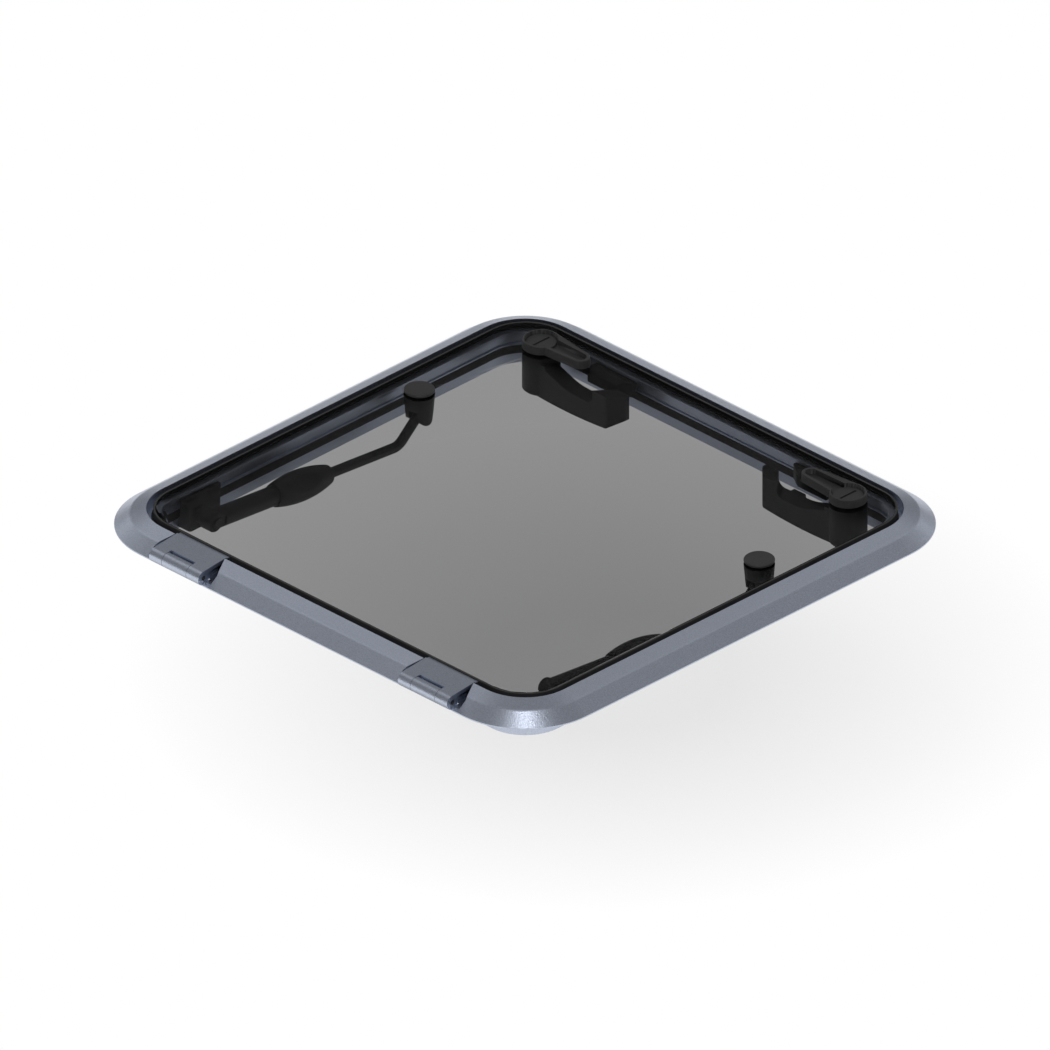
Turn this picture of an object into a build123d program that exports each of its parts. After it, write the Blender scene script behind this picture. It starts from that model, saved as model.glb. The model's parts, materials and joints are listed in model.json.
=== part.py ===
from build123d import *
from math import asin, atan2, cos, hypot, radians, sin
import os

# Flush deck hatch: a cast frame let into the deck, a smoked lens hinged on its -Y edge,
# two handles that latch under keepers, and two sliding stays with twist grips.
# Millimetres. Origin: centre of the hatch on the deck plane. +Y runs from hinges to handles.

os.makedirs("parts", exist_ok=True)

# Clearances
FIT = 0.05
RUN_GAP = 0.35
SOFT_GAP = 0.3
PRESS = 0.02

# Frame
OUTER = 600.0
CORNER_R = 82.0
EDGE_H = 1.2
KNEE_IN = 15.2
KNEE_Z = 12.4
KNEE_R = 9.0
BEZEL_IN = 30.4
BEZEL_Z = 17.9
GUTTER_Z = 3.5
SHELF_START = 35.0
SHELF_IN = 45.5
SHELF_Z = 7.5
LIP_T = 3.0
SPIGOT_IN = 38.4
SPIGOT_WALL = 3.0
SPIGOT_DEPTH = 28.2
RIB_TOP = -6.0
RIB_H = 2.6
RIB_OUT = 1.6
TRIM_TOP = -9.3
TRIM_H = 8.7
TRIM_SINK = 1.2
TRIM_T = 1.7
SEALANT_W = 2.0
SEALANT_DEEP = 1.0
SEALANT_PLACES = (6.0, 31.0)

# Deck fixing: blind tapped holes in the underside of the flange
TAP_R = 2.5
TAP_DEEP = 9.0
TAP_IN = 20.0
TAP_BEYOND_HINGE = 45.0
TAP_SHORT_OF_HINGE = 77.0

# Lens and its edge band
LENS_T = 8.0
LENS_IN = 38.5
LENS_SHIFT = 0.9
LENS_CHAMFER = 0.6
BAND_T = 2.0
SEAL_IN = 35.2
SEAL_W = 3.4

# Hinges
HINGE_IN = 133.0
HINGE_W = 66.0
KNUCKLE_W = 33.0
KNUCKLE_R = 7.5
PIN_R = 2.5
PIN_IN = 2.5
PIN_Z = 7.6
POCKET_GAP = 0.6
FLARE = 8.0
FLARE_START = 30.0
FLARE_FULL = 12.0
LEAF_T = 4.0
LEAF_IN = 32.8
LEAF_SLOT = 6.0
LEAF_LINK = 5.0
WEB_T = 5.0
WEB_DROP = 1.2
BASE_T = 4.0
BASE_W = 58.0
BASE_IN = 28.0
BASE_CORNER_R = 4.0
HINGE_SCREW_X = 20.0
HINGE_SCREW_IN = 20.0
HINGE_SCREW_R = 2.0
LEAF_SCREW_R = 1.5

# Handles
HANDLE_SIDE_IN = 94.0
HANDLE_BACK_IN = 72.0
RING_R = 18.6
RING_RIM = 2.4
TAIL_R = 10.0
TAIL_RIM = 3.8
TAIL_LEN = 51.0
TAIL_SHIFT = 1.5
NECK_START = 11.0
NECK_W = 11.5
HANDLE_GAP = 0.8
HANDLE_H = 8.3
HANDLE_DRAFT = 6.0
HANDLE_ROUND = 0.8
RECESS_FLOOR = 2.6
SPINDLE_R = 6.0
BUSH_R = 9.0
BUSH_FLANGE_R = 13.0
BUSH_FLANGE_T = 0.6
LOCK_R = 14.8
LOCK_T = 2.2
LOCK_STEM_R = 3.0
LOCK_STEM = 9.0
LOCK_SLOT_W = 2.6
LOCK_SLOT_DEEP = 1.4
BOSS_R = 18.5
GRIP_REACH = 114.0
GRIP_SLANT = 12.7
GRIP_FRONT = 14.0
GRIP_BACK = 4.0
GRIP_TOP = 4.0
GRIP_BOTTOM = -31.5
GRIP_BELLY = 1.8
HEEL_LEN = 14.0
HEEL_RISE = 10.5
SCOOP_Z = -11.4
SCOOP_NEAR = 82.0
SCOOP_FAR = 97.0
SCOOP_RAMP = 48.0
HANDLE_TOP_GAP = 0.8
DOG_NEAR = 70.0
DOG_FAR = 84.0
DOG_H = 7.0
DOG_OUT = 9.4
DOG_GAP = 0.8
DOG_CHAMFER = 1.5
HANDLE_SCREW_R = 3.0
HANDLE_HEAD_R = 5.6
HANDLE_HEAD_T = 4.0
HANDLE_SCREW_GRIP = 16.0
HEX_R = 2.8
HEX_DEEP = 2.2

# Keepers, along the edge from the handle's axis
KEEPER_TIP = 98.0
KEEPER_NEAR = 84.0
KEEPER_FAR = 46.0
KEEPER_REACH = 14.6
KEEPER_TOP = 2.8
KEEPER_LOW = -13.0
KEEPER_SLOPE = 5.0
KEEPER_SCREW_IN = 9.0
KEEPER_SCREW_Z = -1.0

# Screws through the spigot's wall, heads countersunk flush outside
WALL_SCREW_R = 2.0
WALL_SCREW_HEAD_R = 3.6
WALL_SCREW_BITE = 5.0
PAD_GAP = 0.4

# Stays, in the planes X = +-STAY_X
STAY_IN = 73.0
FRAME_PIVOT_IN = 106.0
FRAME_PIVOT_Z = -12.5
STAY_RUN = 280.4
LID_PIVOT_Z = -9.0
STAY_DIP = 5.0
TUBE_R = 9.6
TUBE_BORE = 5.6
TUBE_START = 12.0
TUBE_LEN = 112.0
GRIP_START = 84.0
GRIP_MID = 116.0
GRIP_END = 158.0
GRIP_R = 15.2
GRIP_START_R = 11.2
GRIP_END_R = 9.0
GRIP_FLAT = 1.4
ROD_R = 5.0
ROD_START = 20.0
ROD_BEND = 252.2
ROD_BEND_R = 16.0
COLLET_R = 6.8
COLLET_LEN = 26.0
COLLET_SLIT = 1.0
STAY_PIN_R = 3.0
STAY_PIN_HEAD_R = 5.2
STAY_PIN_HEAD_T = 1.8
ROD_PIN_R = 2.6
ROD_PIN_HALF = 9.0
EYE_W = 16.0
EYE_ROUND = 2.5
BRACKET_BASE_T = 4.0
BRACKET_BACK = 12.5
BRACKET_FRONT = 38.0
BRACKET_BLOCK_W = 16.5
BRACKET_BLOCK_FRONT = 5.5
BRACKET_BOSS_R = 7.2
BRACKET_LOW = -26.0
BRACKET_HIGH = 1.5
BRACKET_ROOF = -2.5
BRACKET_SCREW_BACK = 7.0
BRACKET_SCREW_FRONT = 30.0
BRACKET_SCREW_Z = -22.2

# Lid bosses of the stays
STAY_BOSS_OUT = 1.3
LID_BOSS_R = 15.0
LID_BOSS_FOOT_R = 12.6
CHEEK_R = 10.5
CHEEK_GAP = 0.5
CAP_R = 15.0
CAP_H = 2.4
CAP_ROUND = 0.9
GASKET_T = 0.4
LID_SCREW_R = 2.5

# Derived
HALF = OUTER / 2
STRAIGHT = HALF - CORNER_R
LENS_SIDE = OUTER - 2 * LENS_IN
HINGE_X = HALF - HINGE_IN
HANDLE_X = HALF - HANDLE_SIDE_IN
HANDLE_Y = HALF - HANDLE_BACK_IN
STAY_X = HALF - STAY_IN
STAY_BOSS_X = STAY_X + STAY_BOSS_OUT
FRAME_PIVOT_Y = -HALF + FRAME_PIVOT_IN
LID_PIVOT_Y = FRAME_PIVOT_Y + STAY_RUN
SPIGOT_FACE = HALF - SPIGOT_IN - SPIGOT_WALL
LENS_TOP = BEZEL_Z
LENS_LOW = LENS_TOP - LENS_T
LENS_CORNER = CORNER_R - (HALF - LENS_SIDE / 2)
PIN_Y = -HALF + PIN_IN
BAND_HINGE_Y = LENS_SHIFT - LENS_SIDE / 2 - BAND_T
STAY_DIR = (cos(radians(STAY_DIP)), -sin(radians(STAY_DIP)))
BEND_Y = FRAME_PIVOT_Y + ROD_BEND * STAY_DIR[0]
BEND_Z = FRAME_PIVOT_Z + ROD_BEND * STAY_DIR[1]
OUTER_LOW = LENS_TOP + HANDLE_GAP
SPIGOT_OUTSIDE = SPIGOT_FACE + SPIGOT_WALL
PAD_FACE = SPIGOT_FACE - RIB_OUT - PAD_GAP
TRIM_LOW = TRIM_TOP - TRIM_H


def save(solid, name):
    export_step(solid, f"parts/{name}.step")


def group(solids):
    return Compound(children=list(solids))


def sided(part, side):
    """A right-hand piece (+X), or its mirror image on the left."""
    return part if side > 0 else mirror(part, about=Plane.YZ)


def ring(section):
    """A section of (inward, up) swept round the rounded square of the frame."""
    side_plane = Plane(origin=(-STRAIGHT, -HALF, 0), x_dir=(0, 1, 0), z_dir=(1, 0, 0))
    corner_plane = Plane(origin=(STRAIGHT, -HALF, 0), x_dir=(0, 1, 0), z_dir=(1, 0, 0))
    bar = extrude(side_plane * section, amount=2 * STRAIGHT)
    corner_axis = Axis((STRAIGHT, -STRAIGHT, 0), (0, 0, 1))
    corner = revolve(corner_plane * section, axis=corner_axis, revolution_arc=90)
    quarter = bar + corner
    whole = quarter
    for turn in (90, 180, 270):
        whole = whole + Rot(0, 0, turn) * quarter
    return whole


def box_between(x0, x1, y0, y1, z0, z1):
    centre = Pos((x0 + x1) / 2, (y0 + y1) / 2, (z0 + z1) / 2)
    return centre * Box(abs(x1 - x0), abs(y1 - y0), abs(z1 - z0))


def rod_along_x(x0, x1, y, z, radius):
    return Pos((x0 + x1) / 2, y, z) * Rot(0, 90, 0) * Cylinder(radius, abs(x1 - x0))


def rod_along_y(x, y0, y1, z, radius):
    return Pos(x, (y0 + y1) / 2, z) * Rot(90, 0, 0) * Cylinder(radius, abs(y1 - y0))


def rod_along_z(x, y, z0, z1, radius):
    return Pos(x, y, (z0 + z1) / 2) * Cylinder(radius, abs(z1 - z0))


def csk_screw(r, length, head_r):
    """Countersunk screw, head flush with its own z = 0 and the shank going down."""
    head = Pos(0, 0, -(head_r - r) / 2) * Cone(r, head_r, head_r - r)
    return head + Pos(0, 0, -length / 2) * Cylinder(r, length)


def tap_places():
    rows = []
    edge = HALF - TAP_IN
    far = HINGE_X + TAP_BEYOND_HINGE
    near = HINGE_X - TAP_SHORT_OF_HINGE
    for a, b in ((far, edge), (near, edge), (edge, far), (edge, near)):
        rows += [(a * sx, b * sy) for sx in (-1, 1) for sy in (-1, 1)]
    return rows


# Frame body

def frame_section():
    wall_in = SPIGOT_IN + SPIGOT_WALL
    bezel = Polyline(
        (0, 0), (0, EDGE_H), (KNEE_IN, KNEE_Z), (BEZEL_IN, BEZEL_Z), (BEZEL_IN, GUTTER_Z),
        (SHELF_START, GUTTER_Z), (SHELF_START, SHELF_Z), (SHELF_IN, SHELF_Z),
        (SHELF_IN, SHELF_Z - LIP_T), (wall_in, SHELF_Z - LIP_T), (wall_in, -SPIGOT_DEPTH),
        (SPIGOT_IN, -SPIGOT_DEPTH), (SPIGOT_IN, 0), (0, 0),
    )
    face = make_face(bezel)
    knee = face.vertices().sort_by_distance((KNEE_IN, KNEE_Z))[0]
    face = fillet(knee, radius=KNEE_R)
    under_lip = face.vertices().sort_by_distance((wall_in, SHELF_Z - LIP_T))[0]
    face = fillet(under_lip, radius=LIP_T / 2)
    rib_low = RIB_TOP - RIB_H
    rib = make_face(Polyline(
        (wall_in - 0.5, RIB_TOP), (wall_in, RIB_TOP), (wall_in + RIB_OUT, RIB_TOP - RIB_H / 4),
        (wall_in + RIB_OUT, rib_low + RIB_H / 4), (wall_in, rib_low), (wall_in - 0.5, rib_low),
        (wall_in - 0.5, RIB_TOP),
    ))
    groove_mid = TRIM_TOP - TRIM_H / 2
    face = face + rib
    face = face - Pos(wall_in, groove_mid) * Rectangle(2 * TRIM_SINK, TRIM_H)
    for place in SEALANT_PLACES:
        face = face - Pos(place, 0) * Rectangle(SEALANT_W, 2 * SEALANT_DEEP)
    return face


def hinge_pocket(x):
    """Floor under the leaf, open below the barrel, flared beside it."""
    half = HINGE_W / 2 + POCKET_GAP
    wide = half + FLARE
    plan = Polyline(
        (-half, -HALF + SHELF_START), (-half, -HALF + FLARE_START), (-wide, -HALF + FLARE_FULL),
        (-wide, -HALF - 1), (wide, -HALF - 1), (wide, -HALF + FLARE_FULL), (half, -HALF + FLARE_START),
        (half, -HALF + SHELF_START), (-half, -HALF + SHELF_START),
    )
    pocket = extrude(Plane.XY.offset(GUTTER_Z) * make_face(plan), amount=BEZEL_Z)
    open_to = -HALF + PIN_IN + KNUCKLE_R + POCKET_GAP
    pocket += box_between(-half, half, -HALF - 1, open_to, -1, BEZEL_Z)
    return Pos(x, 0, 0) * pocket


def frame_casting():
    body = ring(frame_section())
    for side in (-1, 1):
        x = side * HINGE_X
        body -= hinge_pocket(x)
        for screw in (-HINGE_SCREW_X, HINGE_SCREW_X):
            body -= hinge_screw(x + screw, FIT)
    for screw in bracket_screw_set(FIT) + keeper_screw_set(FIT):
        body -= screw
    for x, y in tap_places():
        body -= rod_along_z(x, y, -1, TAP_DEEP, TAP_R)
    return body


def frame_seal():
    low = SHELF_Z
    high = LENS_LOW - SOFT_GAP
    middle = Pos(SEAL_IN + SEAL_W / 2, (low + high) / 2)
    section = middle * Rectangle(SEAL_W, high - low)
    top = [v for v in section.vertices() if v.Y > middle.position.Y]
    return ring(fillet(top, radius=(high - low) * 0.45))


def trim_strip():
    back = SPIGOT_IN + SPIGOT_WALL - TRIM_SINK
    middle = Pos(back + TRIM_T / 2, TRIM_TOP - TRIM_H / 2)
    section = middle * Rectangle(TRIM_T, TRIM_H - 2 * FIT)
    front = [v for v in section.vertices() if v.X > middle.position.X]
    return ring(chamfer(front, length=0.4))


def hinge_screw(x, spare=0.0):
    """Countersunk in the flange's underside, shank up into the hinge base."""
    y = -HALF + HINGE_SCREW_IN
    r = HINGE_SCREW_R + spare
    screw = csk_screw(r, GUTTER_Z + BASE_T - 1 + spare, HINGE_SCREW_R * 1.9 + spare)
    return Pos(x, y, 0) * Rot(180, 0, 0) * screw


def hinge_base(side):
    half_knuckle = KNUCKLE_W / 2 - RUN_GAP
    top = GUTTER_Z + BASE_T
    barrel = rod_along_x(-half_knuckle, half_knuckle, PIN_Y, PIN_Z, KNUCKLE_R)
    neck = box_between(-half_knuckle, half_knuckle, PIN_Y, -HALF + BASE_IN, GUTTER_Z, top)
    toe = PIN_Y + KNUCKLE_R + 2 * POCKET_GAP
    foot = box_between(-BASE_W / 2, BASE_W / 2, toe, -HALF + BASE_IN, GUTTER_Z, top)
    foot = fillet(foot.edges().filter_by(Axis.Z).group_by(Axis.Y)[-1], radius=BASE_CORNER_R)
    base = barrel + neck + foot
    base -= rod_along_x(-HINGE_W, HINGE_W, PIN_Y, PIN_Z, PIN_R + PRESS)
    for screw in (-HINGE_SCREW_X, HINGE_SCREW_X):
        base -= hinge_screw(screw, FIT)
    return Pos(side * HINGE_X, 0, 0) * base


def hinge_pin(side):
    half = HINGE_W / 2 - 0.5
    pin = rod_along_x(-half, half, PIN_Y, PIN_Z, PIN_R)
    pin = chamfer(pin.edges().filter_by(GeomType.CIRCLE), length=0.5)
    return Pos(side * HINGE_X, 0, 0) * pin


def wall_screw(thickness, spare=0.0):
    """Countersunk screw for a piece that stands this far in from the spigot's inner face."""
    length = SPIGOT_WALL + thickness + spare
    return csk_screw(WALL_SCREW_R + spare, length, WALL_SCREW_HEAD_R + spare)


def bracket_screw_set(spare=0.0):
    screw = Rot(0, 90, 0) * wall_screw(WALL_SCREW_BITE, spare)
    places = (FRAME_PIVOT_Y - BRACKET_SCREW_BACK, FRAME_PIVOT_Y + BRACKET_SCREW_FRONT)
    return [sided(Pos(SPIGOT_OUTSIDE, y, BRACKET_SCREW_Z) * screw, side) for side in (-1, 1) for y in places]


def stay_bracket(side):
    """Wall plate with a block at its hinge end, whose boss carries the tube's pivot."""
    back = FRAME_PIVOT_Y - BRACKET_BACK
    front = FRAME_PIVOT_Y + BRACKET_FRONT
    face = PAD_FACE - BRACKET_BASE_T
    plate = box_between(face, PAD_FACE, back, front, BRACKET_LOW, BRACKET_HIGH)
    plate += box_between(face, SPIGOT_FACE, back, front, BRACKET_LOW, TRIM_LOW - PAD_GAP)
    block_face = SPIGOT_FACE - BRACKET_BLOCK_W
    block = box_between(
        block_face, PAD_FACE, back, FRAME_PIVOT_Y + BRACKET_BLOCK_FRONT, BRACKET_LOW, BRACKET_ROOF
    )
    block = fillet(block.edges().filter_by(Axis.Z).group_by(Axis.X)[0], radius=EYE_ROUND)
    boss = rod_along_x(
        STAY_X + EYE_W / 2 + RUN_GAP, block_face + 1, FRAME_PIVOT_Y, FRAME_PIVOT_Z, BRACKET_BOSS_R
    )
    bracket = plate + block + boss
    bracket -= rod_along_x(0, face, FRAME_PIVOT_Y, FRAME_PIVOT_Z, STAY_PIN_R + PRESS)
    bracket = sided(bracket, side)
    for screw in bracket_screw_set(FIT):
        bracket -= screw
    return bracket


def stay_pivot_pin(side):
    eye_face = STAY_X - EYE_W / 2 - RUN_GAP
    pin = rod_along_x(
        eye_face, PAD_FACE - BRACKET_BASE_T - PRESS, FRAME_PIVOT_Y, FRAME_PIVOT_Z, STAY_PIN_R
    )
    head = rod_along_x(
        eye_face - STAY_PIN_HEAD_T, eye_face, FRAME_PIVOT_Y, FRAME_PIVOT_Z, STAY_PIN_HEAD_R
    )
    head = chamfer(head.edges().filter_by(GeomType.CIRCLE).sort_by(Axis.X)[0], length=STAY_PIN_HEAD_T / 2)
    return sided(pin + head, side)


def keeper_screw_set(spare=0.0):
    screw = Rot(-90, 0, 0) * wall_screw(WALL_SCREW_BITE, spare)
    middle = HANDLE_X - (KEEPER_NEAR + KEEPER_FAR) / 2
    half = (KEEPER_NEAR - KEEPER_FAR) / 2 - KEEPER_SCREW_IN
    places = (middle - half, middle + half)
    return [sided(Pos(x, SPIGOT_OUTSIDE, KEEPER_SCREW_Z) * screw, side) for side in (-1, 1) for x in places]


def keeper(side):
    """Block on the far wall, tapered towards the middle; the dog turns in under it."""
    tip = SPIGOT_FACE - KEEPER_REACH
    rib_clear = RIB_TOP + PAD_GAP
    profile = make_face(Polyline(
        (SPIGOT_FACE, KEEPER_TOP), (SPIGOT_FACE, rib_clear), (PAD_FACE, rib_clear),
        (PAD_FACE, KEEPER_LOW), (tip, KEEPER_LOW), (tip, KEEPER_TOP - KEEPER_SLOPE),
        (tip + KEEPER_SLOPE, KEEPER_TOP), (SPIGOT_FACE, KEEPER_TOP),
    ))
    length = KEEPER_TIP - KEEPER_FAR
    block = Pos(HANDLE_X - KEEPER_TIP, 0, 0) * extrude(Plane.YZ * profile, amount=length)
    plan = make_face(Polyline(
        (HANDLE_X - KEEPER_TIP, SPIGOT_FACE), (HANDLE_X - KEEPER_FAR, SPIGOT_FACE),
        (HANDLE_X - KEEPER_FAR, tip), (HANDLE_X - KEEPER_NEAR, tip),
        (HANDLE_X - KEEPER_TIP, PAD_FACE - BRACKET_BASE_T), (HANDLE_X - KEEPER_TIP, SPIGOT_FACE),
    ))
    block &= extrude(Plane.XY.offset(KEEPER_LOW) * plan, amount=KEEPER_TOP - KEEPER_LOW)
    block = sided(block, side)
    for screw in keeper_screw_set(FIT):
        block -= screw
    return block


# Lid body

def lens_outline(grow=0.0):
    side = LENS_SIDE + 2 * grow
    return Pos(0, LENS_SHIFT) * RectangleRounded(side, side, LENS_CORNER + grow)


def lens():
    plate = extrude(Plane.XY.offset(LENS_LOW) * lens_outline(), amount=LENS_T)
    plate = chamfer(plate.faces().sort_by(Axis.Z)[-1].edges(), length=LENS_CHAMFER)
    for side in (-1, 1):
        plate -= rod_along_z(
            side * HANDLE_X, HANDLE_Y, LENS_LOW - 1, LENS_TOP + 1, BUSH_R + FIT
        )
        plate -= rod_along_z(
            side * STAY_BOSS_X, LID_PIVOT_Y, LENS_LOW - 1, LENS_TOP + 1, LID_SCREW_R + FIT
        )
    return plate


def leaf_screw_places():
    return [(side * HINGE_X + x) for side in (-1, 1) for x in (-HINGE_SCREW_X, HINGE_SCREW_X)]


def leaf_screw(x, spare=0.0):
    """Head flush in the band's inner face, shank into the leaf's web."""
    r = LEAF_SCREW_R + spare
    screw = csk_screw(r, BAND_T + WEB_T - 1 + spare, LEAF_SCREW_R * 1.7 + spare)
    mid = (LENS_LOW + LENS_TOP) / 2 - 0.5
    return Pos(x, BAND_HINGE_Y + BAND_T, mid) * Rot(-90, 0, 0) * screw


def edge_band():
    outer = extrude(Plane.XY.offset(LENS_LOW) * lens_outline(BAND_T), amount=LENS_T)
    inner = extrude(Plane.XY.offset(LENS_LOW - 1) * lens_outline(), amount=LENS_T + 2)
    band = outer - inner
    for x in leaf_screw_places():
        band -= leaf_screw(x, FIT)
    return band


def hinge_leaf(side):
    """Plate that falls gently to the barrel, with a web down the lid's edge band."""
    top = BEZEL_Z
    under = top - LEAF_T
    edge_y = -HALF + LEAF_IN
    half = HINGE_W / 2
    half_gap = KNUCKLE_W / 2
    rise = atan2(top - PIN_Z, edge_y - PIN_Y)
    tilt = rise - asin(KNUCKLE_R / hypot(edge_y - PIN_Y, top - PIN_Z))
    outline = make_face(Polyline(
        (PIN_Y, PIN_Z), (PIN_Y - KNUCKLE_R * sin(tilt), PIN_Z + KNUCKLE_R * cos(tilt)),
        (edge_y, top), (edge_y, under), (PIN_Y + KNUCKLE_R + LEAF_T, under - LEAF_T / 2),
        (PIN_Y + KNUCKLE_R * 0.9, PIN_Z + KNUCKLE_R * 0.4), (PIN_Y, PIN_Z),
    ))
    plate = Pos(-half, 0, 0) * extrude(Plane.YZ * outline, amount=HINGE_W)
    barrel = rod_along_x(-half, half, PIN_Y, PIN_Z, KNUCKLE_R)
    web = box_between(
        -half, half, BAND_HINGE_Y - WEB_T, BAND_HINGE_Y, LENS_LOW + SOFT_GAP, top - WEB_DROP
    )
    link = box_between(
        -half, half, edge_y - LEAF_LINK, BAND_HINGE_Y - WEB_T + 1, under, top - WEB_DROP
    )
    leaf = plate + barrel + web + link
    leaf -= box_between(
        -half_gap, half_gap, PIN_Y - KNUCKLE_R - 1, PIN_Y + LEAF_SLOT, -1, top + 1
    )
    leaf -= rod_along_x(-half_gap, half_gap, PIN_Y, PIN_Z, KNUCKLE_R + POCKET_GAP)
    leaf -= rod_along_x(-half - 1, half + 1, PIN_Y, PIN_Z, PIN_R + FIT)
    for x in (-HINGE_SCREW_X, HINGE_SCREW_X):
        leaf -= leaf_screw(x, FIT)
    return Pos(side * HINGE_X, 0, 0) * leaf


def leaf_screws():
    return group(leaf_screw(x) for x in leaf_screw_places())


def lid_boss(side):
    """Clevis under the lens that carries the stay's rod, its cheeks rounded below."""
    x = STAY_BOSS_X
    low = LID_PIVOT_Z - CHEEK_R
    height = LENS_LOW - low
    body = Pos(x, LID_PIVOT_Y, LENS_LOW - height / 2) * Cone(LID_BOSS_FOOT_R, LID_BOSS_R, height)
    cheeks = rod_along_x(x - LID_BOSS_R, x + LID_BOSS_R, LID_PIVOT_Y, LID_PIVOT_Z, CHEEK_R)
    waist = LID_PIVOT_Z + CHEEK_R / 2
    cheeks += box_between(
        x - LID_BOSS_R, x + LID_BOSS_R, LID_PIVOT_Y - LID_BOSS_R, LID_PIVOT_Y + LID_BOSS_R, waist, LENS_LOW
    )
    body &= cheeks
    slot_half = ROD_R + CHEEK_GAP
    top = LID_PIVOT_Z + ROD_R + 2 * CHEEK_GAP
    body -= box_between(
        STAY_X - slot_half, STAY_X + slot_half, LID_PIVOT_Y - LID_BOSS_R, LID_PIVOT_Y + LID_BOSS_R,
        low - 1, top,
    )
    body -= pin_way()
    body -= rod_along_z(x, LID_PIVOT_Y, top - 1, LENS_LOW + 1, LID_SCREW_R * 0.85)
    return sided(body, side)


def pin_way():
    """Slot in the cheeks that the rod's pin leaves by, down and towards the handles."""
    r = ROD_PIN_R + RUN_GAP
    half = ROD_PIN_HALF + 2 * RUN_GAP
    seat = rod_along_x(STAY_X - half, STAY_X + half, LID_PIVOT_Y, LID_PIVOT_Z, r)
    low = LID_PIVOT_Z - 2 * CHEEK_R
    way = make_face(Polyline(
        (LID_PIVOT_Y - r * 0.8, LID_PIVOT_Z - r * 0.6), (LID_PIVOT_Y - r * 0.4, low),
        (LID_PIVOT_Y + 2 * CHEEK_R, low), (LID_PIVOT_Y + 2 * CHEEK_R, LID_PIVOT_Z - CHEEK_R),
        (LID_PIVOT_Y + r * 0.8, LID_PIVOT_Z + r * 0.6), (LID_PIVOT_Y - r * 0.8, LID_PIVOT_Z - r * 0.6),
    ))
    return seat + Pos(STAY_X - half, 0, 0) * extrude(Plane.YZ * way, amount=2 * half)


def lid_cap(side):
    """Round cap on the lens, with the stud that clamps the boss."""
    low = LENS_TOP + GASKET_T
    disc = Pos(STAY_BOSS_X, LID_PIVOT_Y, low + CAP_H / 2) * Cylinder(CAP_R, CAP_H)
    disc = chamfer(disc.edges().filter_by(GeomType.CIRCLE).sort_by(Axis.Z)[-1], length=CAP_ROUND)
    stud = rod_along_z(
        STAY_BOSS_X, LID_PIVOT_Y, LID_PIVOT_Z + ROD_R + 2, low + CAP_H / 2, LID_SCREW_R * 0.85 - PRESS
    )
    return sided(disc + stud, side)


def cap_gaskets():
    rings = []
    for side in (-1, 1):
        middle = (side * STAY_BOSS_X, LID_PIVOT_Y)
        outer = rod_along_z(*middle, LENS_TOP, LENS_TOP + GASKET_T, CAP_R - 0.8)
        rings.append(outer - rod_along_z(*middle, LENS_LOW, LENS_TOP + 1, LID_SCREW_R + FIT))
    return group(rings)


def handle_bush(side):
    """Flanged bush through the lens that the spindle turns in."""
    low = LENS_LOW - HANDLE_TOP_GAP + 0.2
    bush = rod_along_z(HANDLE_X, HANDLE_Y, low, LENS_TOP, BUSH_R)
    bush += rod_along_z(HANDLE_X, HANDLE_Y, LENS_TOP, LENS_TOP + BUSH_FLANGE_T, BUSH_FLANGE_R)
    bush -= rod_along_z(HANDLE_X, HANDLE_Y, low - 1, LENS_TOP + 5, SPINDLE_R + FIT)
    return sided(bush, side)


# Handle bodies, drawn on the handle's own axis with the tail and grip towards -x

def handle_outline():
    """A ring with a tail set off towards the edge, stepped in on the near side."""
    neck = Polygon(
        (0, RING_R), (-TAIL_LEN - TAIL_R / 6, TAIL_SHIFT + TAIL_R), (-TAIL_LEN, TAIL_SHIFT - TAIL_R),
        (-NECK_START, -NECK_W), (0, 0), align=None,
    )
    return Circle(RING_R) + neck + Pos(-TAIL_LEN, TAIL_SHIFT) * Circle(TAIL_R)


def handle_recess():
    inner = TAIL_R - TAIL_RIM
    slot = Polygon(
        (0, NECK_W - RING_RIM), (-TAIL_LEN, TAIL_SHIFT + inner), (-TAIL_LEN, TAIL_SHIFT - inner),
        (0, -NECK_W + TAIL_RIM), align=None,
    )
    return Circle(RING_R - RING_RIM) + slot + Pos(-TAIL_LEN, TAIL_SHIFT) * Circle(inner)


def outer_handle(side):
    body = extrude(Plane.XY * handle_outline(), amount=HANDLE_H, taper=HANDLE_DRAFT)
    body = fillet(body.faces().sort_by(Axis.Z)[-1].edges(), radius=HANDLE_ROUND)
    body -= extrude(Plane.XY.offset(RECESS_FLOOR) * handle_recess(), amount=HANDLE_H)
    body -= rod_along_z(0, 0, -1, RECESS_FLOOR + 1, SPINDLE_R + FIT)
    return sided(Pos(HANDLE_X, HANDLE_Y, OUTER_LOW) * body, side)


def spindle(side):
    """Flatted shaft that joins the outer handle to the inner one."""
    top = OUTER_LOW + RECESS_FLOOR - SOFT_GAP
    low = GRIP_BOTTOM + HANDLE_SCREW_GRIP
    shaft = rod_along_z(HANDLE_X, HANDLE_Y, low, top, SPINDLE_R)
    shaft = chamfer(shaft.edges().filter_by(GeomType.CIRCLE), length=0.5)
    shaft -= box_between(
        HANDLE_X - BOSS_R, HANDLE_X + BOSS_R, HANDLE_Y + SPINDLE_R - 1, HANDLE_Y + BOSS_R,
        low - 1, LENS_LOW - 3,
    )
    shaft -= rod_along_z(HANDLE_X, HANDLE_Y, top - LOCK_STEM, top + 1, LOCK_STEM_R + FIT)
    shaft -= rod_along_z(HANDLE_X, HANDLE_Y, low - 1, low + LOCK_STEM, HANDLE_SCREW_R * 0.85)
    return sided(shaft, side)


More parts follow.
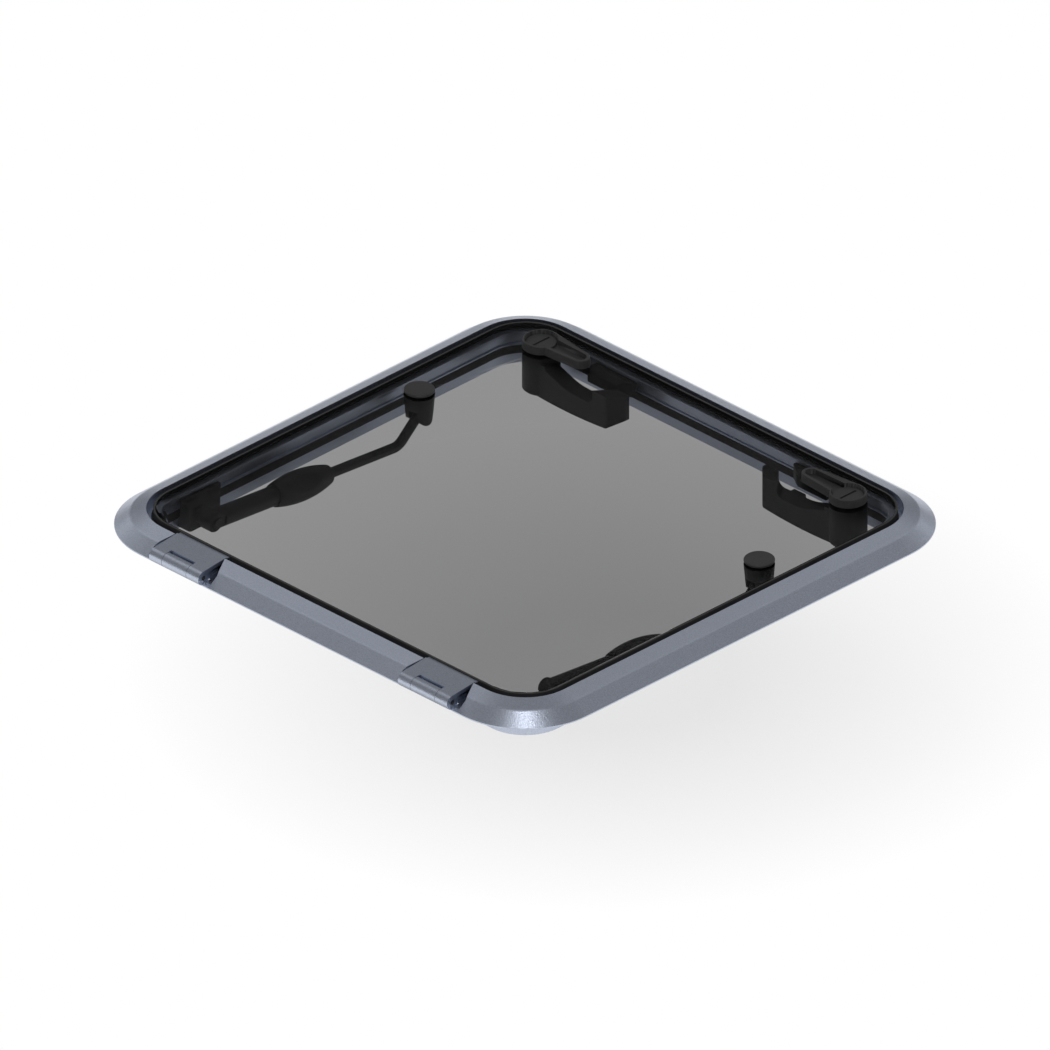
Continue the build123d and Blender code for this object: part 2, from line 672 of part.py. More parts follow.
def grip_bar():
    """Boat-shaped bar, its end cut back on the near side and rising below."""
    plan = make_face(Polyline(
        (0, -GRIP_FRONT), (GRIP_SLANT - GRIP_REACH, -GRIP_FRONT), (-GRIP_REACH, GRIP_SLANT - GRIP_FRONT),
        (-GRIP_REACH, GRIP_BACK), (0, GRIP_BACK), (0, -GRIP_FRONT),
    ))
    near_corner = plan.vertices().sort_by_distance((GRIP_SLANT - GRIP_REACH, -GRIP_FRONT))[0]
    end_corner = plan.vertices().sort_by_distance((-GRIP_REACH, GRIP_SLANT - GRIP_FRONT))[0]
    plan = fillet([near_corner, end_corner], radius=5)
    heel = HEEL_LEN - GRIP_REACH
    belly = ThreePointArc(
        (0, GRIP_BOTTOM), (heel / 2, GRIP_BOTTOM - GRIP_BELLY), (heel, GRIP_BOTTOM + GRIP_BELLY / 2)
    )
    rest = Polyline(
        (heel, GRIP_BOTTOM + GRIP_BELLY / 2), (-GRIP_REACH - 1, GRIP_BOTTOM + HEEL_RISE),
        (-GRIP_REACH - 1, GRIP_TOP), (0, GRIP_TOP), (0, GRIP_BOTTOM),
    )
    profile = extrude(Plane.XZ * make_face([belly, rest]), amount=BOSS_R, both=True)
    depth = GRIP_TOP - GRIP_BOTTOM + 2 * GRIP_BELLY
    return profile & extrude(Plane.XY.offset(GRIP_BOTTOM - 2 * GRIP_BELLY) * plan, amount=depth)


def grip_scoop():
    """Finger space: a ramp from the boss, a floor, and an end wall slanted like the tip."""
    side_view = make_face(Polyline(
        (-BOSS_R, 0), (-SCOOP_RAMP, SCOOP_Z + 1), (-GRIP_REACH, SCOOP_Z - 1), (-GRIP_REACH, GRIP_TOP + 1),
        (-BOSS_R, GRIP_TOP + 1), (-BOSS_R, 0),
    ))
    ramp_end = side_view.vertices().sort_by_distance((-SCOOP_RAMP, SCOOP_Z + 1))[0]
    side_view = fillet(ramp_end, radius=60)
    space = extrude(Plane.XZ * side_view, amount=BOSS_R, both=True)
    slope = (SCOOP_FAR - SCOOP_NEAR) / (GRIP_FRONT + GRIP_BACK)
    plan = make_face(Polyline(
        (0, -BOSS_R), (-SCOOP_NEAR + slope * (BOSS_R - GRIP_FRONT), -BOSS_R),
        (-SCOOP_FAR - slope * (BOSS_R - GRIP_BACK), BOSS_R), (0, BOSS_R), (0, -BOSS_R),
    ))
    space &= extrude(Plane.XY.offset(SCOOP_Z - 5) * plan, amount=GRIP_TOP - SCOOP_Z + 10)
    floor_end = space.edges().sort_by_distance((-(SCOOP_NEAR + SCOOP_FAR) / 2, 0, SCOOP_Z - 1))[0]
    return fillet(floor_end, radius=7)


def inner_handle(side):
    top = LENS_LOW - HANDLE_TOP_GAP
    boss = rod_along_z(0, 0, GRIP_BOTTOM, top, BOSS_R)
    boss = chamfer(boss.edges().filter_by(GeomType.CIRCLE).sort_by(Axis.Z)[0], length=1.5)
    dog_top = KEEPER_LOW - DOG_GAP
    dog = box_between(-DOG_FAR, -DOG_NEAR, 0, GRIP_BACK + DOG_OUT, dog_top - DOG_H, dog_top)
    nose = dog.edges().filter_by(Axis.X).group_by(Axis.Y)[-1].sort_by(Axis.Z)[-1]
    dog = chamfer(nose, length=DOG_CHAMFER)
    body = boss + (grip_bar() - grip_scoop()) + dog
    low = GRIP_BOTTOM + HANDLE_SCREW_GRIP
    shaft = rod_along_z(0, 0, low - FIT, top + 1, SPINDLE_R + FIT)
    shaft -= box_between(-BOSS_R, BOSS_R, SPINDLE_R - 1 + FIT, BOSS_R, low - 1, LENS_LOW - 3)
    body -= shaft
    body -= rod_along_z(0, 0, GRIP_BOTTOM - 1, low, HANDLE_SCREW_R + FIT)
    body -= rod_along_z(0, 0, GRIP_BOTTOM - 1, GRIP_BOTTOM + HANDLE_HEAD_T + 0.5, HANDLE_HEAD_R + FIT)
    return sided(Pos(HANDLE_X, HANDLE_Y, 0) * body, side)


def handle_screw(side):
    low = GRIP_BOTTOM + 0.5
    seat = low + HANDLE_HEAD_T
    head = rod_along_z(HANDLE_X, HANDLE_Y, low, seat, HANDLE_HEAD_R)
    head = chamfer(head.edges().filter_by(GeomType.CIRCLE).sort_by(Axis.Z)[0], length=0.8)
    head -= Pos(HANDLE_X, HANDLE_Y, low) * extrude(RegularPolygon(HEX_R, 6), amount=HEX_DEEP)
    shank_end = GRIP_BOTTOM + HANDLE_SCREW_GRIP + LOCK_STEM
    shank = rod_along_z(HANDLE_X, HANDLE_Y, seat, shank_end, HANDLE_SCREW_R * 0.85 - PRESS)
    return sided(head + shank, side)


def lock_disc(side):
    """Slotted disc of the night lock, with its stem down the spindle."""
    low = OUTER_LOW + RECESS_FLOOR + FIT
    disc = rod_along_z(HANDLE_X, HANDLE_Y, low, low + LOCK_T, LOCK_R)
    disc = chamfer(disc.edges().filter_by(GeomType.CIRCLE).sort_by(Axis.Z)[-1], length=0.5)
    slot = Pos(HANDLE_X, HANDLE_Y, low + LOCK_T) * Box(
        LOCK_SLOT_W, 2 * LOCK_R * 0.72, 2 * LOCK_SLOT_DEEP
    )
    stem = rod_along_z(HANDLE_X, HANDLE_Y, low - LOCK_STEM + 1, low + 0.1, LOCK_STEM_R)
    return sided(disc - slot + stem, side)


# Stay bodies

def stay_frame():
    """Place along the stay: its own z runs from the frame pivot towards the grip."""
    return Plane(
        origin=(STAY_X, FRAME_PIVOT_Y, FRAME_PIVOT_Z), x_dir=(1, 0, 0),
        z_dir=(0, STAY_DIR[0], STAY_DIR[1]),
    ).location


def along(start, end, radius):
    """Round bar on the stay's own axis."""
    return Pos(0, 0, (start + end) / 2) * Cylinder(radius, end - start)


def stay_tube(side):
    tube = along(TUBE_START, TUBE_LEN, TUBE_R) - along(TUBE_START - 1, TUBE_LEN + 1, TUBE_BORE)
    return sided(stay_frame() * tube, side)


def stay_eye(side):
    """Rounded eye, as thick as the tube, plugged into its frame end."""
    eye = Rot(0, 90, 0) * Cylinder(TUBE_R, EYE_W)
    eye = fillet(eye.edges().filter_by(GeomType.CIRCLE), radius=EYE_ROUND)
    eye += along(0, TUBE_START, TUBE_R) & Box(EYE_W, 4 * TUBE_R, 4 * TUBE_R)
    eye += along(0, ROD_START - 2, TUBE_BORE - PRESS)
    eye -= Rot(0, 90, 0) * Cylinder(STAY_PIN_R + FIT, EYE_W + 2)
    return sided(stay_frame() * eye, side)


def stay_grip(side):
    """Twist grip: an egg-shaped body round the tube's mouth, with three thumb flats."""
    outline = ThreePointArc((GRIP_START_R, GRIP_START), (GRIP_R, GRIP_MID), (GRIP_END_R, GRIP_END))
    line = Polyline(
        (GRIP_END_R, GRIP_END), (0, GRIP_END), (0, GRIP_START), (GRIP_START_R, GRIP_START)
    )
    grip = revolve(Plane.XZ * make_face([outline, line]), axis=Axis.Z)
    grip = fillet(grip.edges().filter_by(GeomType.CIRCLE).sort_by(Axis.Z)[-1], radius=2.5)
    for turn in (90, 210, 330):
        grip -= Rot(0, 0, turn) * Pos(2 * GRIP_R - GRIP_FLAT, 0, GRIP_MID) * Box(
            2 * GRIP_R, 2 * GRIP_R, GRIP_END - GRIP_START
        )
    collet_end = TUBE_LEN + COLLET_LEN + 2
    grip -= along(GRIP_START - 1, TUBE_LEN + RUN_GAP, TUBE_R + RUN_GAP)
    grip -= along(TUBE_LEN, collet_end, COLLET_R + RUN_GAP)
    grip -= along(TUBE_LEN, GRIP_END + 1, ROD_R + RUN_GAP)
    return sided(stay_frame() * grip, side)


def stay_collet(side):
    """Split collet between the tube's mouth and the grip's cone."""
    end = TUBE_LEN + COLLET_LEN
    collet = along(TUBE_LEN, end, COLLET_R) - along(TUBE_LEN - 1, end + 1, ROD_R + FIT)
    collet -= Pos(0, 0, end) * Box(COLLET_SLIT, 4 * COLLET_R, 1.5 * COLLET_LEN)
    return sided(stay_frame() * collet, side)


def stay_rod(side):
    """Rod that slides in the tube and cranks up to its eye in the lid's clevis."""
    start = Vector(STAY_X, FRAME_PIVOT_Y + ROD_START * STAY_DIR[0], FRAME_PIVOT_Z + ROD_START * STAY_DIR[1])
    bend = Vector(STAY_X, BEND_Y, BEND_Z)
    tip = Vector(STAY_X, LID_PIVOT_Y, LID_PIVOT_Z)
    path = FilletPolyline(start, bend, tip, radius=ROD_BEND_R)
    section = Plane(origin=start, z_dir=(bend - start).normalized()) * Circle(ROD_R)
    rod = sweep(section, path=path)
    rod += Pos(*tip) * Sphere(ROD_R)
    rod -= rod_along_x(STAY_X - ROD_R - 1, STAY_X + ROD_R + 1, LID_PIVOT_Y, LID_PIVOT_Z, ROD_PIN_R + PRESS)
    return sided(rod, side)


def rod_pin(side):
    pin = rod_along_x(STAY_X - ROD_PIN_HALF, STAY_X + ROD_PIN_HALF, LID_PIVOT_Y, LID_PIVOT_Z, ROD_PIN_R)
    pin = chamfer(pin.edges().filter_by(GeomType.CIRCLE), length=0.4)
    return sided(pin, side)


save(frame_casting(), "frame")
save(frame_seal(), "frame_seal")
save(trim_strip(), "trim_strip")
save(group(bracket_screw_set()), "bracket_screws")
save(group(keeper_screw_set()), "keeper_screws")
save(lens(), "lens")
save(edge_band(), "edge_band")
save(leaf_screws(), "leaf_screws")
save(cap_gaskets(), "cap_gaskets")
save(
    group(hinge_screw(s * HINGE_X + x) for s in (-1, 1) for x in (-HINGE_SCREW_X, HINGE_SCREW_X)),
    "hinge_screws",
)
for side, hand in ((-1, "left"), (1, "right")):
    save(hinge_base(side), f"hinge_base_{hand}")
    save(hinge_pin(side), f"hinge_pin_{hand}")
    save(hinge_leaf(side), f"hinge_leaf_{hand}")
    save(stay_bracket(side), f"stay_bracket_{hand}")
    save(stay_pivot_pin(side), f"stay_pivot_pin_{hand}")
    save(keeper(side), f"keeper_{hand}")
    save(lid_boss(side), f"lid_boss_{hand}")
    save(lid_cap(side), f"lid_cap_{hand}")
    save(handle_bush(side), f"handle_bush_{hand}")
    save(outer_handle(side), f"outer_handle_{hand}")
    save(spindle(side), f"spindle_{hand}")
    save(inner_handle(side), f"inner_handle_{hand}")
    save(handle_screw(side), f"handle_screw_{hand}")
    save(lock_disc(side), f"lock_disc_{hand}")
    save(stay_tube(side), f"stay_tube_{hand}")
    save(stay_eye(side), f"stay_eye_{hand}")
    save(stay_grip(side), f"stay_grip_{hand}")
    save(stay_collet(side), f"stay_collet_{hand}")
    save(stay_rod(side), f"stay_rod_{hand}")
    save(rod_pin(side), f"rod_pin_{hand}")
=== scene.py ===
import json
import math

import bpy
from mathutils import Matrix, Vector


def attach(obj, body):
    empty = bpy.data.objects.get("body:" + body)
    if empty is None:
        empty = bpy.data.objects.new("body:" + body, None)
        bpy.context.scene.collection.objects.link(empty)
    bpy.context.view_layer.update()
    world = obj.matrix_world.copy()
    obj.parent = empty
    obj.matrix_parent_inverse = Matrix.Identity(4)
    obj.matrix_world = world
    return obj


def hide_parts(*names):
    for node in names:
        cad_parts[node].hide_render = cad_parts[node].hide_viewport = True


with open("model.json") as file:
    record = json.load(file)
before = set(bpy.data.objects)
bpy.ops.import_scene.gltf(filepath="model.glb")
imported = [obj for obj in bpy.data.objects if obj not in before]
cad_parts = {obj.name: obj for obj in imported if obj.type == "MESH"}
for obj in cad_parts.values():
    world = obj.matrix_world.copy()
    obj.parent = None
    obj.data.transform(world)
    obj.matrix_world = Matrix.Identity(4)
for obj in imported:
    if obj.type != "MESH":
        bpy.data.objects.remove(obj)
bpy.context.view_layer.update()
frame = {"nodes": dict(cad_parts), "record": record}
SCENE = bpy.context.scene
SLOT_OF = {row["node"]: row["material_slot"] for row in frame["record"]["subparts"]}
BODY_OF = {n: b for b, names in frame["record"]["behaviour"]["bodies"].items() for n in names}
WHITE = (1, 1, 1, 1)


# Camera: a parallel view from 30 degrees above the deck, 45 degrees round from the hinge edge

VIEW_TURN = math.radians(45)
VIEW_RISE = math.radians(30)
VIEW_WIDTH = 0.9973
AIM = Vector((0.0, 0.0, -0.0008))
CAMERA_AWAY = 3.0
CAMERA_REACH = 20.0


def view_direction():
    flat = math.cos(VIEW_RISE)
    return Vector((
        math.sin(VIEW_TURN) * flat, -math.cos(VIEW_TURN) * flat, math.sin(VIEW_RISE)
    ))


def place_facing(thing, place, towards):
    thing.location = place
    thing.rotation_mode = "QUATERNION"
    thing.rotation_quaternion = towards.to_track_quat("Z", "Y")
    SCENE.collection.objects.link(thing)


def make_camera():
    data = bpy.data.cameras.new("camera")
    data.type = "ORTHO"
    data.ortho_scale = VIEW_WIDTH
    data.clip_end = CAMERA_REACH
    camera = bpy.data.objects.new("camera", data)
    place_facing(camera, AIM + view_direction() * CAMERA_AWAY, view_direction())
    SCENE.camera = camera


# Shader helpers

def new_group(name, inputs):
    """A shared group that gives a colour, a roughness and a normal."""
    group = bpy.data.node_groups.new(name, "ShaderNodeTree")
    for label, kind, value in inputs:
        socket = group.interface.new_socket(label, in_out="INPUT", socket_type=kind)
        socket.default_value = value
    for label, kind in (
        ("Colour", "NodeSocketColor"), ("Roughness", "NodeSocketFloat"),
        ("Normal", "NodeSocketVector"),
    ):
        group.interface.new_socket(label, in_out="OUTPUT", socket_type=kind)
    entry = group.nodes.new("NodeGroupInput").outputs
    leave = group.nodes.new("NodeGroupOutput").inputs
    return group, entry, leave


def object_coords(tree):
    return tree.nodes.new("ShaderNodeTexCoord").outputs["Object"]


def noise_node(tree, coords, scale, detail, roughness):
    noise = tree.nodes.new("ShaderNodeTexNoise")
    noise.inputs["Scale"].default_value = scale
    noise.inputs["Detail"].default_value = detail
    noise.inputs["Roughness"].default_value = roughness
    tree.links.new(coords, noise.inputs["Vector"])
    return noise


def map_range(tree, value, low, high, to_low, to_high):
    node = tree.nodes.new("ShaderNodeMapRange")
    node.inputs["From Min"].default_value = low
    node.inputs["From Max"].default_value = high
    node.inputs["To Min"].default_value = to_low
    node.inputs["To Max"].default_value = to_high
    tree.links.new(value, node.inputs["Value"])
    return node.outputs["Result"]


def maths(tree, operation, a, b):
    node = tree.nodes.new("ShaderNodeMath")
    node.operation = operation
    for socket, amount in zip(node.inputs, (a, b)):
        if isinstance(amount, float):
            socket.default_value = amount
        else:
            tree.links.new(amount, socket)
    return node.outputs["Value"]


# The mix node's sockets for its share and its colours, which share their names with others
MIX_SHARE = 0
MIX_FIRST = 6
MIX_SECOND = 7
MIX_RESULT = 2


def mixed_colour(tree, share, first, second):
    node = tree.nodes.new("ShaderNodeMix")
    node.data_type = "RGBA"
    tree.links.new(share, node.inputs[MIX_SHARE])
    tree.links.new(first, node.inputs[MIX_FIRST])
    tree.links.new(second, node.inputs[MIX_SECOND])
    return node.outputs[MIX_RESULT]


def scaled_colour(tree, colour, factor):
    node = tree.nodes.new("ShaderNodeVectorMath")
    node.operation = "SCALE"
    tree.links.new(colour, node.inputs[0])
    tree.links.new(factor, node.inputs["Scale"])
    return node.outputs["Vector"]


def bumped_normal(tree, height, strength, distance):
    bump = tree.nodes.new("ShaderNodeBump")
    bump.inputs["Distance"].default_value = distance
    tree.links.new(strength, bump.inputs["Strength"])
    tree.links.new(height, bump.inputs["Height"])
    return bump.outputs["Normal"]


def mixed_shader(tree, share, first, second):
    mix = tree.nodes.new("ShaderNodeMixShader")
    tree.links.new(share, mix.inputs["Fac"])
    tree.links.new(first, mix.inputs[1])
    tree.links.new(second, mix.inputs[2])
    return mix.outputs["Shader"]


def seen_directly(tree):
    """1 for rays from the camera, straight or through the lens; also the light path's outputs."""
    path = tree.nodes.new("ShaderNodeLightPath").outputs
    return maths(tree, "MAXIMUM", path["Is Camera Ray"], path["Is Transmission Ray"]), path


# Shared groups

MIDDLE = 0.5
FLECK_SCALE = 900.0
FLECK_SPAN = (0.3, 0.7, 0.0, 1.0)
DRIFT_SCALE = 9.0
DRIFT_SHARE = 0.10
PEEL_SCALE = 640.0
PEEL_HEIGHT = 0.0003
FLECK_HEIGHT_SHARE = 0.6
FLECK_ROUGHNESS = 0.12


def flake_group():
    """Metallic powder coat: a fine bright fleck, slow drift of tone and a light orange peel."""
    group, entry, leave = new_group("metallic_flake", [
        ("Colour", "NodeSocketColor", (0.2, 0.2, 0.2, 1)), ("Fleck", "NodeSocketFloat", 0.3),
        ("Peel", "NodeSocketFloat", 0.2), ("Roughness", "NodeSocketFloat", 0.4),
    ])
    place = object_coords(group)
    fleck = noise_node(group, place, FLECK_SCALE, detail=2.0, roughness=0.6).outputs["Fac"]
    drift = noise_node(group, place, DRIFT_SCALE, detail=3.0, roughness=0.5).outputs["Fac"]
    peel = noise_node(group, place, PEEL_SCALE, detail=2.0, roughness=0.5).outputs["Fac"]
    spread = maths(group, "SUBTRACT", map_range(group, fleck, *FLECK_SPAN), MIDDLE)
    light = maths(group, "MULTIPLY", spread, entry["Fleck"])
    slow = maths(group, "MULTIPLY", maths(group, "SUBTRACT", drift, MIDDLE), DRIFT_SHARE)
    lift = maths(group, "ADD", maths(group, "ADD", light, slow), 1.0)
    rough_fleck = maths(group, "MULTIPLY", spread, FLECK_ROUGHNESS)
    rough = maths(group, "ADD", entry["Roughness"], rough_fleck)
    height = maths(group, "ADD", peel, maths(group, "MULTIPLY", fleck, FLECK_HEIGHT_SHARE))
    normal = bumped_normal(group, height, entry["Peel"], PEEL_HEIGHT)
    group.links.new(scaled_colour(group, entry["Colour"], lift), leave["Colour"])
    group.links.new(rough, leave["Roughness"])
    group.links.new(normal, leave["Normal"])
    return group


CLOUD_SCALE = 26.0
CLOUD_SPAN = (0.35, 0.75, 0.0, 1.0)
GRAIN_SCALE = 900.0
GRAIN_HEIGHT = 0.00025
RUBBED_ROUGHNESS = 0.08


def mould_group():
    """Moulded plastic or rubber: spark-eroded grain, faint cloudiness and rubbed high spots."""
    group, entry, leave = new_group("moulded_grain", [
        ("Colour", "NodeSocketColor", (0.02, 0.02, 0.02, 1)),
        ("Rubbed", "NodeSocketColor", (0.05, 0.05, 0.05, 1)),
        ("Grain", "NodeSocketFloat", GRAIN_SCALE), ("Depth", "NodeSocketFloat", 0.2),
        ("Roughness", "NodeSocketFloat", 0.5),
    ])
    place = object_coords(group)
    grain = noise_node(group, place, GRAIN_SCALE, detail=2.0, roughness=0.6)
    group.links.new(entry["Grain"], grain.inputs["Scale"])
    cloud = noise_node(group, place, CLOUD_SCALE, detail=4.0, roughness=0.6).outputs["Fac"]
    patch = map_range(group, cloud, *CLOUD_SPAN)
    tone = mixed_colour(group, patch, entry["Colour"], entry["Rubbed"])
    rough_patch = maths(group, "MULTIPLY", patch, RUBBED_ROUGHNESS)
    rough = maths(group, "ADD", entry["Roughness"], rough_patch)
    normal = bumped_normal(group, grain.outputs["Fac"], entry["Depth"], GRAIN_HEIGHT)
    group.links.new(tone, leave["Colour"])
    group.links.new(rough, leave["Roughness"])
    group.links.new(normal, leave["Normal"])
    return group


# Materials

ACRYLIC_IOR = 1.49
SMOKE = (0.530, 0.530, 0.534, 1)
MIRROR_SHARE = 0.12
MIRROR_ROUGHNESS = 0.03

FINISH = {
    "frame_alloy": "flange_paint", "black_plastic": "handle_plastic",
    "black_rubber": "seal_rubber", "black_alloy": "stay_metal", "steel": "screw_steel",
    "smoked_acrylic": "smoked_acrylic",
}
BLACKENED = {
    "stay_pivot_pin_left", "stay_pivot_pin_right", "rod_pin_left", "rod_pin_right",
    "hinge_pin_left", "hinge_pin_right",
}


def blank_material(name):
    material = bpy.data.materials.new(name)
    material.use_nodes = True
    tree = material.node_tree
    return material, tree, tree.nodes["Principled BSDF"]


def to_surface(tree, shader):
    tree.links.new(shader, tree.nodes["Material Output"].inputs["Surface"])


def grouped_material(name, group, metallic, settings):
    material, tree, shader = blank_material(name)
    node = tree.nodes.new("ShaderNodeGroup")
    node.node_tree = group
    for label, value in settings.items():
        node.inputs[label].default_value = value
    tree.links.new(node.outputs["Colour"], shader.inputs["Base Color"])
    tree.links.new(node.outputs["Roughness"], shader.inputs["Roughness"])
    tree.links.new(node.outputs["Normal"], shader.inputs["Normal"])
    shader.inputs["Metallic"].default_value = metallic
    return material


def smoked_acrylic():
    """Clear smoked sheet: it bends light, tints it at both faces and mirrors only a little."""
    material, tree, shader = blank_material("smoked_acrylic")
    tree.nodes.remove(shader)
    bent = tree.nodes.new("ShaderNodeBsdfRefraction")
    bent.inputs["Color"].default_value = SMOKE
    bent.inputs["Roughness"].default_value = 0.0
    bent.inputs["IOR"].default_value = ACRYLIC_IOR
    mirror = tree.nodes.new("ShaderNodeBsdfGlossy")
    mirror.inputs["Color"].default_value = WHITE
    mirror.inputs["Roughness"].default_value = MIRROR_ROUGHNESS
    glance = tree.nodes.new("ShaderNodeFresnel")
    glance.inputs["IOR"].default_value = ACRYLIC_IOR
    clear = tree.nodes.new("ShaderNodeBsdfTransparent")
    clear.inputs["Color"].default_value = SMOKE
    path = tree.nodes.new("ShaderNodeLightPath")
    share = maths(tree, "MULTIPLY", glance.outputs["Fac"], MIRROR_SHARE)
    surface = mixed_shader(tree, share, bent.outputs["BSDF"], mirror.outputs["BSDF"])
    shadow = path.outputs["Is Shadow Ray"]
    to_surface(tree, mixed_shader(tree, shadow, surface, clear.outputs["BSDF"]))
    return material


def make_materials():
    flake = flake_group()
    mould = mould_group()
    return {
        "flange_paint": grouped_material("flange_paint", flake, metallic=0.95, settings={
            "Colour": (0.54, 0.59, 0.70, 1), "Fleck": 0.26, "Peel": 0.48, "Roughness": 0.34,
        }),
        "handle_plastic": grouped_material("handle_plastic", mould, metallic=0.0, settings={
            "Colour": (0.052, 0.052, 0.052, 1), "Rubbed": (0.072, 0.072, 0.072, 1),
            "Grain": GRAIN_SCALE, "Depth": 0.25, "Roughness": 0.48,
        }),
        "stay_metal": grouped_material("stay_metal", flake, metallic=0.3, settings={
            "Colour": (0.064, 0.064, 0.066, 1), "Fleck": 0.25, "Peel": 0.12, "Roughness": 0.38,
        }),
        "seal_rubber": grouped_material("seal_rubber", mould, metallic=0.0, settings={
            "Colour": (0.008, 0.008, 0.009, 1), "Rubbed": (0.014, 0.014, 0.014, 1),
            "Grain": 1500.0, "Depth": 0.15, "Roughness": 0.55,
        }),
        "screw_steel": grouped_material("screw_steel", flake, metallic=1.0, settings={
            "Colour": (0.55, 0.55, 0.56, 1), "Fleck": 0.12, "Peel": 0.08, "Roughness": 0.28,
        }),
        "smoked_acrylic": smoked_acrylic(),
    }


def dress_nodes(materials):
    for name, node in frame["nodes"].items():
        finish = "stay_metal" if name in BLACKENED else FINISH[SLOT_OF[name]]
        node.data.materials.clear()
        node.data.materials.append(materials[finish])


# Finished copies of the nodes: merged, edges eased, smooth shaded. The plain nodes need none.

PLAIN_NODES = {
    "hinge_screws", "bracket_screws", "keeper_screws", "leaf_screws", "cap_gaskets", "frame",
}
USUAL_EASE = 0.00025
EASE = {
    "lens": 0.0, "edge_band": 0.00015, "frame_seal": 0.0, "trim_strip": 0.0,
    "inner_handle_left": 0.0009, "inner_handle_right": 0.0009,
}
EASE_SEGMENTS = 2
EASE_FROM = math.radians(40)
SMOOTH_BELOW = math.radians(32)
MERGE_WITHIN = 2e-6


def deselect():
    for thing in bpy.context.selected_objects:
        thing.select_set(False)


def merge_corners():
    bpy.ops.object.mode_set(mode="EDIT")
    bpy.ops.mesh.select_all(action="SELECT")
    bpy.ops.mesh.remove_doubles(threshold=MERGE_WITHIN)
    bpy.ops.object.mode_set(mode="OBJECT")


def ease_edges(piece, width):
    bevel = piece.modifiers.new("ease", "BEVEL")
    bevel.width = width
    bevel.segments = EASE_SEGMENTS
    bevel.limit_method = "ANGLE"
    bevel.angle_limit = EASE_FROM
    bpy.ops.object.modifier_apply(modifier=bevel.name)


def smooth(piece):
    bpy.ops.object.shade_smooth_by_angle(angle=SMOOTH_BELOW)
    even = piece.modifiers.new("even_shading", "WEIGHTED_NORMAL")
    even.keep_sharp = True
    bpy.ops.object.modifier_apply(modifier=even.name)


def eased_copy(node, ease):
    mesh = frame["nodes"][node].data.copy()
    piece = bpy.data.objects.new(node + "_finished", mesh)
    SCENE.collection.objects.link(piece)
    deselect()
    piece.select_set(True)
    bpy.context.view_layer.objects.active = piece
    merge_corners()
    if ease:
        ease_edges(piece, ease)
    smooth(piece)
    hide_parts(node)
    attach(piece, BODY_OF[node])


# Floor, backdrop and light. Each painted shade on the floor is a centre, the distances it spans
# and its two shares.

FLOOR_Z = -0.30
FLOOR_SIZE = 30.0
FLOOR_TONE = (0.86, 0.86, 0.86, 1)
FLOOR_ROUGHNESS = 0.9
# Painted soft shadow: the floor's glow, seen by the camera and through the lens, is cut near this
# centre
PAINTED_SOFT_SHADOW = ((-0.12, 0.23, 0.0), (0.12, 0.46), (0.70, 1.0))
# Painted shade: what reflections see of the floor is darker under the hatch, in place of its
# shadow
PAINTED_SHADE_UNDER_HATCH = ((0.0, 0.0, 0.0), (0.38, 0.68), (0.30, 1.0))
WORLD_LIGHT = 0.24

# Each light: where it stands, facing the origin, the two sides of its panel and its power
LIGHTS = {
    "key_left": ((-2.2, -0.2, 2.2), (1.6, 1.6), 3.2),
    "key_right": ((0.2, 2.2, 2.2), (1.6, 1.6), 2.2),
    "left_side": ((-2.7, -0.4, 0.7), (1.2, 0.8), 2.0),
    "right_side": ((0.4, 2.7, 0.7), (1.2, 0.8), 2.0),
    "front_strip": ((0.8, -0.8, 2.2), (0.34, 0.6), 6.0),
}


def floor_share(tree, place, centre, reach, share):
    away = tree.nodes.new("ShaderNodeVectorMath")
    away.operation = "DISTANCE"
    away.inputs[1].default_value = centre
    tree.links.new(place, away.inputs[0])
    return map_range(tree, away.outputs["Value"], *reach, *share)


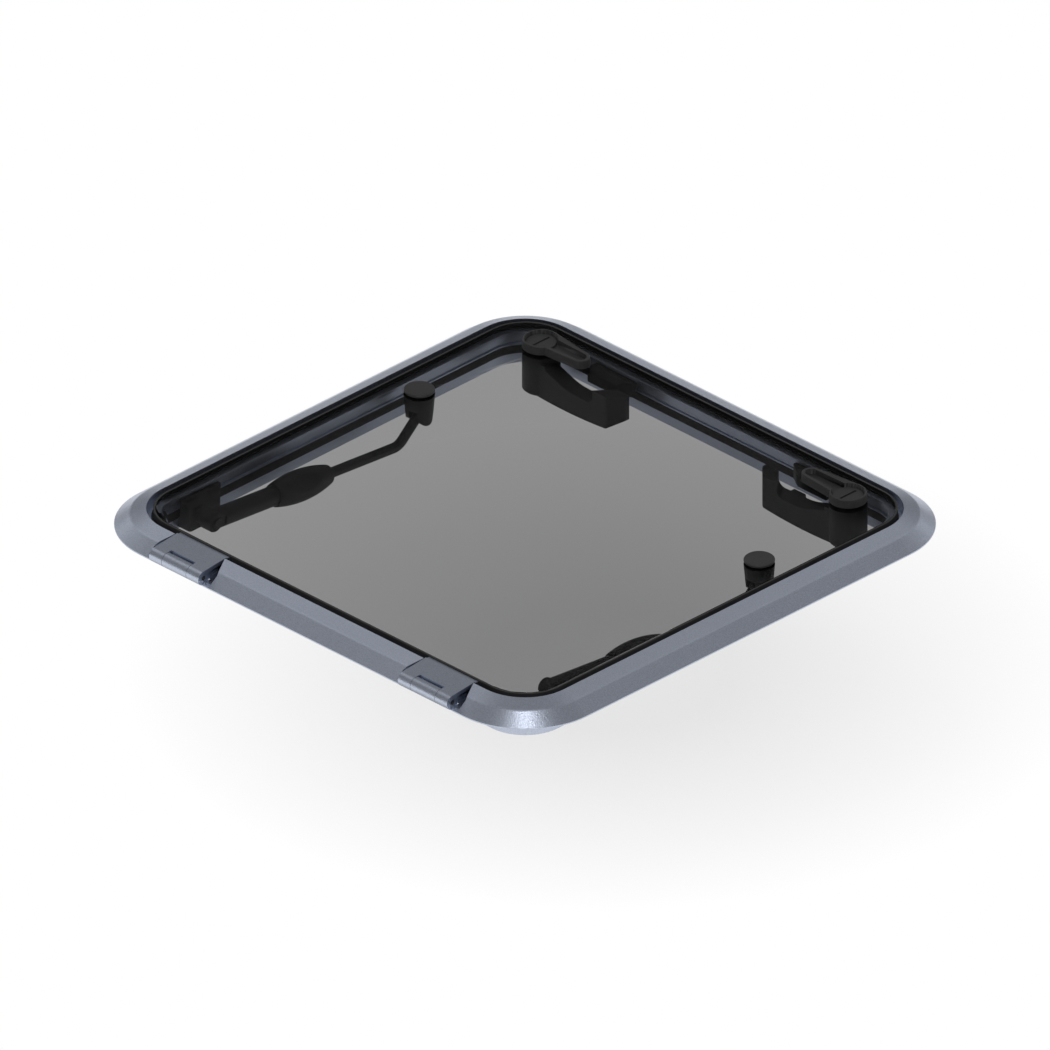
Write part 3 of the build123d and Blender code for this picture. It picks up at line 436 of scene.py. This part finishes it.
def floor_glow_and_painted_shade(tree):
    """How much of the floor's own white each ray meets: a painted soft shadow for the camera and
    the lens, painted shade under the hatch for reflections.
    """
    direct, path = seen_directly(tree)
    place = object_coords(tree)
    # Painted shadow and painted shade: the glow share falls with the distance to their centres
    white_with_painted_shadow = maths(tree, "MULTIPLY", direct, floor_share(tree, place, *PAINTED_SOFT_SHADOW))
    glossy = maths(tree, "GREATER_THAN", path["Is Glossy Ray"], direct)
    mirrored_with_painted_shade = maths(tree, "MULTIPLY", glossy, floor_share(tree, place, *PAINTED_SHADE_UNDER_HATCH))
    return maths(tree, "MAXIMUM", white_with_painted_shadow, mirrored_with_painted_shade)


def make_floor():
    deselect()
    bpy.ops.mesh.primitive_plane_add(size=FLOOR_SIZE, location=(0, 0, FLOOR_Z))
    floor = bpy.context.object
    floor.name = "floor"
    material, tree, shader = blank_material("floor_glow_and_painted_shade")
    shader.inputs["Base Color"].default_value = FLOOR_TONE
    shader.inputs["Roughness"].default_value = FLOOR_ROUGHNESS
    shader.inputs["Specular IOR Level"].default_value = 0.0
    glow = tree.nodes.new("ShaderNodeEmission")
    glow.inputs["Color"].default_value = WHITE
    # The floor's glow, with the painted shadow and painted shade cut into it
    top = mixed_shader(tree, floor_glow_and_painted_shade(tree), shader.outputs["BSDF"], glow.outputs["Emission"])
    below = tree.nodes.new("ShaderNodeNewGeometry").outputs["Backfacing"]
    clear = tree.nodes.new("ShaderNodeBsdfTransparent").outputs["BSDF"]
    to_surface(tree, mixed_shader(tree, below, top, clear))
    floor.data.materials.append(material)


def make_world():
    world = bpy.data.worlds.new("studio")
    SCENE.world = world
    world.use_nodes = True
    tree = world.node_tree
    plain = tree.nodes["Background"]
    white = tree.nodes.new("ShaderNodeBackground")
    for backdrop, strength in ((plain, WORLD_LIGHT), (white, 1.0)):
        backdrop.inputs["Color"].default_value = WHITE
        backdrop.inputs["Strength"].default_value = strength
    direct = seen_directly(tree)[0]
    both = mixed_shader(tree, direct, plain.outputs["Background"], white.outputs["Background"])
    tree.links.new(both, tree.nodes["World Output"].inputs["Surface"])


def make_lights():
    for name, (place, size, power) in LIGHTS.items():
        data = bpy.data.lights.new(name, "AREA")
        data.shape = "RECTANGLE"
        data.size, data.size_y = size
        data.energy = power
        place_facing(bpy.data.objects.new(name, data), place, Vector(place))


make_camera()
make_world()
make_lights()
make_floor()
dress_nodes(make_materials())
for name in sorted(frame["nodes"]):
    if name not in PLAIN_NODES:
        eased_copy(name, EASE.get(name, USUAL_EASE))

SCENE.view_settings.view_transform = "Standard"
